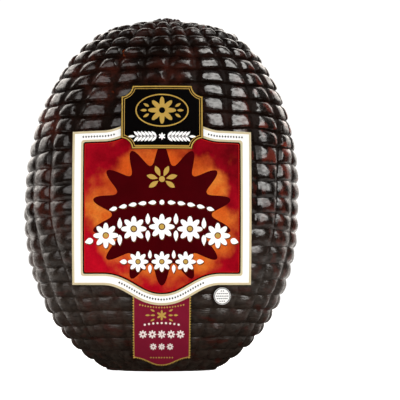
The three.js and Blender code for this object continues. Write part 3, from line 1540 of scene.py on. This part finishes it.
@dataclass
class FrontLabel(Label):
    """The big label: white film with a framed, clouded field and a pale garland over a dark rosette."""

    slot: str = "front_print"
    node: str = "front_label"
    lift: float = 1.3 * MM
    step: float = 0.08 * MM
    half_width: float = 74.5 * MM
    top: float = 201 * MM
    bottom: float = 73.5 * MM
    crest: float = 214 * MM
    sag: float = 56.8 * MM
    swing: float = 48.5 * MM
    nudge: float = 0.02 * MM
    rim: float = 1.8 * MM
    ticks_inset: float = 4.7 * MM
    tan_inset: float = 7.4 * MM
    black_inset: float = 9.1 * MM
    field_inset: float = 10.3 * MM
    field_line: float = 0.6 * MM
    arch_middle: float = 121 * MM
    arch_fall: float = 7 * MM
    arch_half: float = 46 * MM
    arch_flower: float = 10.4 * MM
    low_row: float = 92.5 * MM
    low_half: float = 19.5 * MM
    low_flower: float = 8.4 * MM
    vine_half: float = 40 * MM
    vine_rise: float = 20 * MM
    shadow_drop: float = 0.9 * MM
    rosette_middle: Point = (0, 131 * MM)
    rosette_radii: Span = (58 * MM, 41 * MM)
    rosette_petals: int = 14
    sprig_middle: Point = (0, 160 * MM)
    sprig_heart: float = 2.4 * MM
    sprig_turns: tuple[float, ...] = (-125, -75, -25, 25, 75, 125)
    sprig_reach: Point = (8.2 * MM, 7.2 * MM)
    sprig_leaf: Point = (9.5 * MM, 4 * MM)
    tick: Point = (1.5 * MM, 2.0 * MM)
    tick_pitch: float = 2.35 * MM

    def outline(self) -> Outline:
        """Draws the label's edge, anticlockwise from its lower left corner.

        The nudge keeps the corners and the bends' ends off one line, where a fill would leave a sliver.

        Returns:
            The outline.
        """
        half, swing = self.half_width, self.swing
        under, over = self.bottom - self.nudge, self.top + self.nudge
        sag, crest = (0, self.sag), (0, self.crest)
        low = [(-half, self.bottom)]
        low += bezier((-swing, under), (-0.62 * swing, under), (-0.45 * swing, self.sag), sag, 30)
        low += bezier(sag, (0.45 * swing, self.sag), (0.62 * swing, under), (swing, under), 30)
        low += [(swing, under), (half, self.bottom), (half, self.top)]
        high = bezier((swing, over), (0.68 * swing, over), (0.45 * swing, self.crest), crest, 30)
        high += bezier(crest, (-0.45 * swing, self.crest), (-0.68 * swing, over), (-swing, over), 30)
        return low + high + [(-swing, over), (-half, self.top)]

    def ring(self, outer: float, inner: float, radius: float = 0.0) -> list[Outline]:
        """Returns the band between two insets of the edge."""
        edge = self.outline()
        return [inset(edge, outer, radius), inset(edge, inner, radius)]

    def layers(self) -> list[Layer]:
        """Lists the white stock, the frame's lines, the field and what is printed on it.

        Returns:
            The label's films.
        """
        edge, field_inset = self.outline(), self.field_inset
        lines = self.ring(0.0, self.rim) + self.ring(self.tan_inset, self.black_inset, 2.3 * MM)
        black = self.ring(self.black_inset, field_inset, 1.6 * MM)
        field_line = self.ring(field_inset, field_inset + self.field_line, 1.2 * MM)
        dark = rosette(self.rosette_middle, *self.rosette_radii, self.rosette_petals, 1.25)
        hearts = [dot(centre, 0.19 * radius, 20) for centre, radius in self.flowers()]
        sprig = [dot(self.sprig_middle, self.sprig_heart)]
        sprig += spray(self.sprig_middle, self.sprig_turns, self.sprig_reach, self.sprig_leaf, 0.55)
        return [
            Layer("label_stock", [edge], 0, Print.WHITE, 0.35 * MM),
            Layer("label_tan_lines", lines, 1, Print.TAN),
            Layer("label_black_line", black, 1, Print.BLACK),
            Layer("label_field", [inset(edge, field_inset, 1.2 * MM)], 1, Print.FIELD),
            Layer("label_field_line", field_line, 2, Print.ORANGE),
            Layer("label_rosette", [dark], 2, Print.MAROON),
            Layer("label_garland_shadow", self.garland(self.shadow_drop), 3, Print.BRONZE),
            Layer("label_garland", self.garland(0.0), 4, Print.WHITE),
            Layer("label_hearts", hearts, 4, Print.GOLD),
            Layer("label_sprig", sprig, 3, Print.GOLD),
            Layer("label_ticks", self.ticks(), 1, Print.BLACK),
        ]

    def arch(self, x: float) -> float:
        """Returns the height of the arched row at x."""
        return self.arch_middle - self.arch_fall * (x / self.arch_half) ** 2

    def flowers(self) -> list[tuple[Point, float]]:
        """Returns the middle and radius of each daisy: five in an arch and three under them."""
        arch = [((x, self.arch(x)), self.arch_flower) for x in along(self.arch_half, 5)]
        return arch + [((x, self.low_row), self.low_flower) for x in along(self.low_half, 3)]

    def garland(self, drop: float) -> list[Outline]:
        """Draws the daisies, the leaves round them and the vine over them.

        Args:
            drop: how far all is moved down, and half as far to the right.

        Returns:
            The outlines.
        """
        leaves = []
        for x in along(34.5 * MM, 4):
            for up in SIDES:
                leaves.append(((x, self.arch(x) + up * 7 * MM), 9 * MM, 3.8 * MM, 90 - up * 90))
        for side in SIDES:
            leaves.append(((side * 60 * MM, self.arch(59 * MM)), 7 * MM, 5 * MM, side * 105))
            leaves.append(((side * 31.6 * MM, self.low_row), 6 * MM, 4 * MM, side * 90))
            for up in SIDES:
                middle = (side * 9.75 * MM, self.low_row + up * 6 * MM)
                leaves.append((middle, 7 * MM, 3 * MM, 90 - up * 90))
        loops = [loop for centre, radius in self.flowers() for loop in daisy(centre, radius)]
        loops += [leaf(*each, 0.4) for each in leaves]
        for x in along(self.vine_half, 11):
            middle, turn = (x, self.arch(x) + self.vine_rise), math.copysign(90, x) + 15 * x / (42 * MM)
            on_vine = leaf(middle, 6.6 * MM, 3.4 * MM, turn, 0.4) if x else dot(middle, 2.0 * MM)
            loops.append(on_vine)
        return [moved(loop, (0.5 * drop, -drop)) for loop in loops]

    def ticks(self) -> list[Outline]:
        """Draws the tiny dashes along the white band, at its top corners and its lower sag.

        Returns:
            The outlines.
        """
        loops = []
        for x, z in walk(inset(self.outline(), self.ticks_inset), self.tick_pitch):
            at_top = z > self.top - 6 * MM and 38 * MM < abs(x) < 67 * MM
            at_sag = z < self.bottom + 4 * MM and abs(x) < 36 * MM
            if at_top or at_sag:
                loops.append(lozenge((x, z), *self.tick))
        return loops


@dataclass
class CrestPlaque(Label):
    """The small black plaque over the label's top edge, with a rosette and leafy branches in it."""

    slot: str = "crest_print"
    node: str = "crest_plaque"
    lift: float = 2.3 * MM
    step: float = 0.06 * MM
    half_width: float = 34 * MM
    top: float = 239 * MM
    bottom: float = 185 * MM
    scoop: float = 9 * MM
    middle: Point = (0, 217.5 * MM)
    insets: tuple[float, ...] = (0.5 * MM, 1.5 * MM, 2.6 * MM, 3.1 * MM)
    ovals: tuple[Point, ...] = ((22 * MM, 14 * MM), (21 * MM, 13 * MM))
    flower_radii: Span = (11.5 * MM, 5.5 * MM)
    heart: float = 2.6 * MM
    leaf_reach: Point = (15.2 * MM, 9 * MM)
    leaf_size: Point = (5.4 * MM, 2.2 * MM)
    branches: Branches = Branches((0, 195.5 * MM), 24.5 * MM, (5.6 * MM, 2.1 * MM), 6)

    def outline(self) -> Outline:
        """Draws the plaque's edge, a rectangle with scooped corners, anticlockwise.

        Returns:
            The outline.
        """
        points = []
        for side_x, side_z, start in ((1, -1, 180), (1, 1, 270), (-1, 1, 0), (-1, -1, 90)):
            x, z = side_x * self.half_width, self.top if side_z > 0 else self.bottom
            for step in range(11):
                way = math.radians(start - 9 * step)
                points.append((x + self.scoop * math.cos(way), z + self.scoop * math.sin(way)))
        return points

    def layers(self) -> list[Layer]:
        """Lists the black stock, the gold lines and ornaments, and the white branches.

        Returns:
            The plaque's films.
        """
        edge, middle = self.outline(), self.middle
        gold = [inset(edge, distance) for distance in self.insets]
        gold += [ellipse(middle, radii, 64) for radii in self.ovals]
        gold += [rosette(middle, *self.flower_radii, 8, 0.8), dot(middle, self.heart)]
        turns = [side * turn for side in SIDES for turn in (60, 90, 120)]
        gold += spray(middle, turns, self.leaf_reach, self.leaf_size)
        return [
            Layer("crest_stock", [edge], 0, Print.BLACK, 0.45 * MM),
            Layer("crest_gold", gold, 1, Print.GOLD),
            Layer("crest_white", self.branches.loops(), 1, Print.WHITE),
        ]


@dataclass
class Pennant(Label):
    """The maroon strip under the label, with a saw-toothed gold edge."""

    slot: str = "pennant_print"
    node: str = "pennant_label"
    lift: float = 0.75 * MM
    step: float = 0.06 * MM
    half_width: float = 24.3 * MM
    top: float = 74 * MM
    corner: float = 12 * MM
    tip: float = 5 * MM
    tooth: float = 2.2 * MM
    bite: float = 1.3 * MM
    border: float = 1.5 * MM
    flower: Point = (0, 48.5 * MM)

    def outline(self) -> Outline:
        """Draws the strip's edge, anticlockwise from its lower left corner.

        Returns:
            The outline.
        """
        half = self.half_width
        first, second = (-0.5 * half, 11 * MM), (-0.4 * half, self.tip)
        low = bezier((-half, self.corner), first, second, (0, self.tip))
        mirrored = [(-x, z) for x, z in reversed(low[1:])]
        return low + [(0, self.tip)] + mirrored + [(half, self.corner), (half, self.top), (-half, self.top)]

    def teeth(self, length: float) -> int:
        """Returns how many teeth a side of this length has."""
        return max(1, round(length / self.tooth))

    def toothed(self, points: Outline) -> Outline:
        """Cuts saw teeth inward along an outline's sides and bottom.

        Args:
            points: the outline.

        Returns:
            The toothed outline.
        """
        result = []
        for here, following in edges(points):
            flat_top = min(here[1], following[1]) > self.top - MM
            pieces = 1 if flat_top else self.teeth(math.dist(here, following)) * 2
            way = _left_of(here, following)
            for step in range(pieces):
                x, z = between(here, following, step / pieces)
                cut = self.bite if step % 2 else 0.0
                result.append((x + way[0] * cut, z + way[1] * cut))
        return result

    def layers(self) -> list[Layer]:
        """Lists the gold stock, the maroon field and what is printed on it.

        Returns:
            The strip's films.
        """
        edge = divided(self.outline(), self.teeth)
        return [
            Layer("pennant_gold", [self.toothed(edge)], 0, Print.GOLD, 0.4 * MM),
            Layer("pennant_field", [inset(edge, self.border)], 1, Print.WINE),
            Layer("pennant_scroll", self.scroll(), 2, Print.GOLD),
            Layer("pennant_garland", self.garland(), 2, Print.CREAM),
        ]

    def scroll(self) -> list[Outline]:
        """Draws the gold ornaments: a sprig between two rows of beads, the upper one sagging.

        Returns:
            The outlines.
        """
        loops = beads((0, 54.9 * MM), 18 * MM, 17, (1.4 * MM, 1.6 * MM), 2.2 * MM)
        loops += beads((0, 12.6 * MM), 9 * MM, 9, (1.3 * MM, 1.5 * MM))
        loops.append(rosette(self.flower, 4.2 * MM, 1.6 * MM, 6, 0.8))
        for side in SIDES:
            for reach, turn in ((7.4 * MM, 90), (11.8 * MM, 90), (8.6 * MM, 62), (8.6 * MM, 118)):
                loops += spray(self.flower, [side * turn], (reach, reach), (3.8 * MM, 1.5 * MM))
        return loops

    def garland(self) -> list[Outline]:
        """Draws the pale ornaments: dots in an arch over five daisies, and three more under them.

        Returns:
            The outlines.
        """
        upper = [((x, 32.5 * MM), 3.5 * MM) for x in along(15.6 * MM, 5)]
        lower = [((x, 22 * MM), 2.9 * MM) for x in along(7 * MM, 3)]
        loops = [loop for centre, radius in upper + lower for loop in daisy(centre, radius)]
        half, rise = 14 * MM, 1.4 * MM
        for x in along(half, 9):
            loops.append(dot((x, 40.6 * MM + rise * (1 - (x / half) ** 2)), 0.9 * MM, 12))
        return loops


@dataclass
class RoundSeal(Label):
    """The small white disc beside the label's lower edge, with rows of beads in a ring.

    Each row of beads is its height over the middle, half its width and how many beads it has.
    """

    slot: str = "seal_print"
    node: str = "round_seal"
    lift: float = 0.8 * MM
    step: float = 0.08 * MM
    centre: Point = (50.2 * MM, 64.2 * MM)
    radius: float = 7 * MM
    ring: Span = (0.3 * MM, 0.8 * MM)
    bead: Point = (1.35 * MM, 1.1 * MM)
    rows: tuple[tuple[float, float, int], ...] = (
        (-4.2 * MM, 1.8 * MM, 3),
        (-2.1 * MM, 4.0 * MM, 6),
        (0.0, 4.6 * MM, 7),
        (2.1 * MM, 4.0 * MM, 6),
        (4.2 * MM, 0.9 * MM, 2),
    )

    def layers(self) -> list[Layer]:
        """Lists the white stock and the grey lines.

        Returns:
            The seal's films.
        """
        disc = dot(self.centre, self.radius, 72)
        lines = [inset(disc, distance) for distance in self.ring]
        for height, half, count in self.rows:
            middle = (self.centre[0], self.centre[1] + height)
            lines += beads(middle, half, count, self.bead)
        return [
            Layer("seal_stock", [disc], 0, Print.WHITE, 0.4 * MM),
            Layer("seal_lines", lines, 1, Print.GREY),
        ]


# ---------------------------------------------------------------- the studio


class Role(Enum):
    """What a light is for."""

    GLOSS = "its shape shows in the glaze and lights nothing else"
    WASH = "it lights the print and the meat evenly and shows in no reflection"


@dataclass
class Softbox:
    """A rectangular light that faces the ham.

    Azimuth runs from the front towards +X and elevation up from level, both in degrees.
    """

    name: str
    role: Role
    azimuth: float
    elevation: float
    distance: float
    size: tuple[float, float]
    radiance: float
    colour: Colour = (1.0, 1.0, 1.0)

    def build(self, target: Vector) -> None:
        """Adds the light and turns it to a target.

        Args:
            target: the point that it faces.
        """
        azimuth, elevation = math.radians(self.azimuth), math.radians(self.elevation)
        level = math.cos(elevation)
        way = Vector((math.sin(azimuth) * level, -math.cos(azimuth) * level, math.sin(elevation)))
        deselect()
        bpy.ops.object.light_add(type="AREA", location=target + way * self.distance)
        lamp = bpy.context.active_object
        lamp.name = self.name
        lamp.rotation_euler = way.to_track_quat("Z", "Y").to_euler()
        lamp.data.shape = "RECTANGLE"
        lamp.data.size, lamp.data.size_y = self.size
        lamp.data.color = self.colour
        lamp.data.energy = self.radiance * math.pi * self.size[0] * self.size[1]
        lamp.visible_camera = False
        lamp.visible_glossy = self.role is Role.GLOSS
        lamp.visible_diffuse = self.role is Role.WASH


@dataclass
class Studio:
    """A white sweep behind and under the ham, a dark room in front of it, and soft lights.

    In reflections the backdrop fades over back_edges, overhead and raised, which are parts of a
    direction, and the floor's painted shadow, painted pool of light and sweep over shaded, lit_edge and
    sweep_edge, which are distances from its middle.
    """

    middle: Vector
    white: float = 1.08
    backdrop: float = 1.25
    crest: float = 1.9
    room: float = 0.02
    table: float = 0.95
    bounce: float = 0.45
    paper: Colour = (0.9, 0.9, 0.9)
    paper_glow: float = 0.95
    around: Colour = (1.0, 0.94, 0.88)
    back_way: Triple = (-0.174, 0.985, 0.0)
    back_edges: Span = (0.2, 0.47)
    overhead: Span = (0.94, 0.74)
    raised: Span = (0.12, 0.35)
    floor_radius: float = 3.0
    shaded: Span = (0.08, 0.3)
    lit_edge: Span = (0.6, 0.4)
    sweep_edge: Span = (0.15, 0.5)
    eye: Triple = (0.0, -1.2, 0.075)
    aim: Triple = (0.0335, 0.0, 0.148)
    lens: float = 123.0
    lights: tuple[Softbox, ...] = (
        Softbox("key", Role.GLOSS, 53, 37, 1.3, (1.05, 1.5), 9.4, (1.0, 0.985, 0.95)),
        Softbox("fill", Role.GLOSS, -42, 28, 1.3, (1.1, 1.2), 2.5, (1.0, 0.97, 0.95)),
        Softbox("wash_left", Role.WASH, -50, 2, 1.5, (1.2, 1.2), 4.8),
        Softbox("wash_right", Role.WASH, 50, 2, 1.5, (1.2, 1.2), 5.15),
    )

    def build(self) -> None:
        """Builds the world, the floor, the lights and the camera."""
        bpy.context.scene.view_settings.view_transform = "Standard"
        self._world()
        self._floor()
        for light in self.lights:
            light.build(self.middle)
        self._camera()

    def _behind(self, graph: Graph, direction: Socket) -> Socket:
        """Returns how far a direction lies within the bright part of the backdrop, 0 to 1."""
        turned = graph.add("VectorMath", {0: direction, 1: self.back_way}, operation="DOT_PRODUCT")
        return graph.ranged(turned.outputs["Value"], self.back_edges, eased=True)

    def _world(self) -> None:
        """Sets the world: white to the camera, and to reflections dark in front and bright behind.

        Behind the ham the backdrop is brightest some way up and fades out overhead.
        """
        world = bpy.data.worlds.new("studio")
        bpy.context.scene.world = world
        graph = bare_graph(world)
        direction = graph.add("TexCoord").outputs["Generated"]
        height = graph.add("SeparateXYZ", {0: direction}).outputs["Z"]
        ceiling = graph.ranged(height, self.overhead, eased=True)
        raised = graph.line(graph.ranged(height, self.raised, eased=True), self.crest, 1.0)
        wall = graph.product(self._behind(graph, direction), ceiling, raised)
        level = graph.line(wall, self.backdrop - self.room, self.room)
        around = graph.add("Background", {"Color": self.around, "Strength": level})
        seen = graph.add("Background", {"Color": (1.0, 1.0, 1.0), "Strength": self.white})
        ray = graph.add("LightPath").outputs["Is Camera Ray"]
        mix = graph.add("MixShader", {0: ray, 1: around.outputs[0], 2: seen.outputs[0]})
        graph.add("OutputWorld", {"Surface": mix.outputs[0]})

    def _floor(self) -> None:
        """Adds a white floor that reflections see as a glow: a painted shadow round the ham's foot and a
        painted pool of light beyond it, up to the sweep; diffuse rays see it glow too, a painted light from
        below.
        """
        deselect()
        bpy.ops.mesh.primitive_circle_add(
            vertices=96, radius=self.floor_radius, fill_type="NGON", location=(0, 0, 0)
        )
        floor = bpy.context.active_object
        floor.name = "floor"
        material = bpy.data.materials.new("floor")
        graph = bare_graph(material)
        at = graph.add("TexCoord").outputs["Object"]
        away = graph.add("VectorMath", {0: at}, operation="LENGTH").outputs["Value"]
        out = graph.add("VectorMath", {0: at}, operation="NORMALIZE").outputs["Vector"]
        near, far, sweep = (
            graph.ranged(away, span, eased=True) for span in (self.shaded, self.lit_edge, self.sweep_edge)
        )
        # Painted shadow of the ham round its foot and a painted pool of light beyond it, as reflections see
        # the floor.
        painted_pool = graph.product(graph.product(near, far), self.table)
        path = graph.add("LightPath").outputs
        # The floor glows for diffuse rays too, a painted light from below though it is no lamp.
        level = graph.line(path["Is Diffuse Ray"], self.bounce, painted_pool)
        level = graph.line(graph.product(self._behind(graph, out), sweep), self.backdrop, level)
        glow = graph.add("Emission", {"Color": self.around, "Strength": level})
        paper = graph.add("BsdfDiffuse", {"Color": self.paper})
        lift = graph.add("Emission", {"Color": (1.0, 1.0, 1.0), "Strength": self.paper_glow})
        bright = graph.add("AddShader", {0: paper.outputs[0], 1: lift.outputs[0]})
        mix = graph.add("MixShader", {0: path["Is Camera Ray"], 1: glow.outputs[0], 2: bright.outputs[0]})
        graph.add("OutputMaterial", {"Surface": mix.outputs[0]})
        floor.data.materials.append(material)

    def _camera(self) -> None:
        """Adds a low camera in front of the ham, aimed a little to its right."""
        deselect()
        bpy.ops.object.camera_add(location=self.eye)
        camera = bpy.context.active_object
        camera.name = "camera"
        camera.rotation_euler = (Vector(self.aim) - Vector(self.eye)).to_track_quat("-Z", "Y").to_euler()
        camera.data.sensor_width = 36.0
        camera.data.lens = self.lens
        camera.data.clip_end = 20.0
        bpy.context.scene.camera = camera


def main() -> None:
    """Loads the frame, builds each sub-assembly in order, logging each piece's faces, and builds the
    studio.
    """
    logging.basicConfig(level=logging.INFO, format="%(name)s: %(message)s")
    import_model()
    low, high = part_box("ham")
    envelope = Envelope(310 * MM, 242 * MM, 165 * MM)
    HamBody(envelope).build()
    film = Film(envelope, {each: each.value.material() for each in Print})
    for label in (Pennant, RoundSeal, FrontLabel, CrestPlaque):
        label(film).build()
    Studio((low + high) / 2).build()
    deselect()


if __name__ == "__main__":
    main()
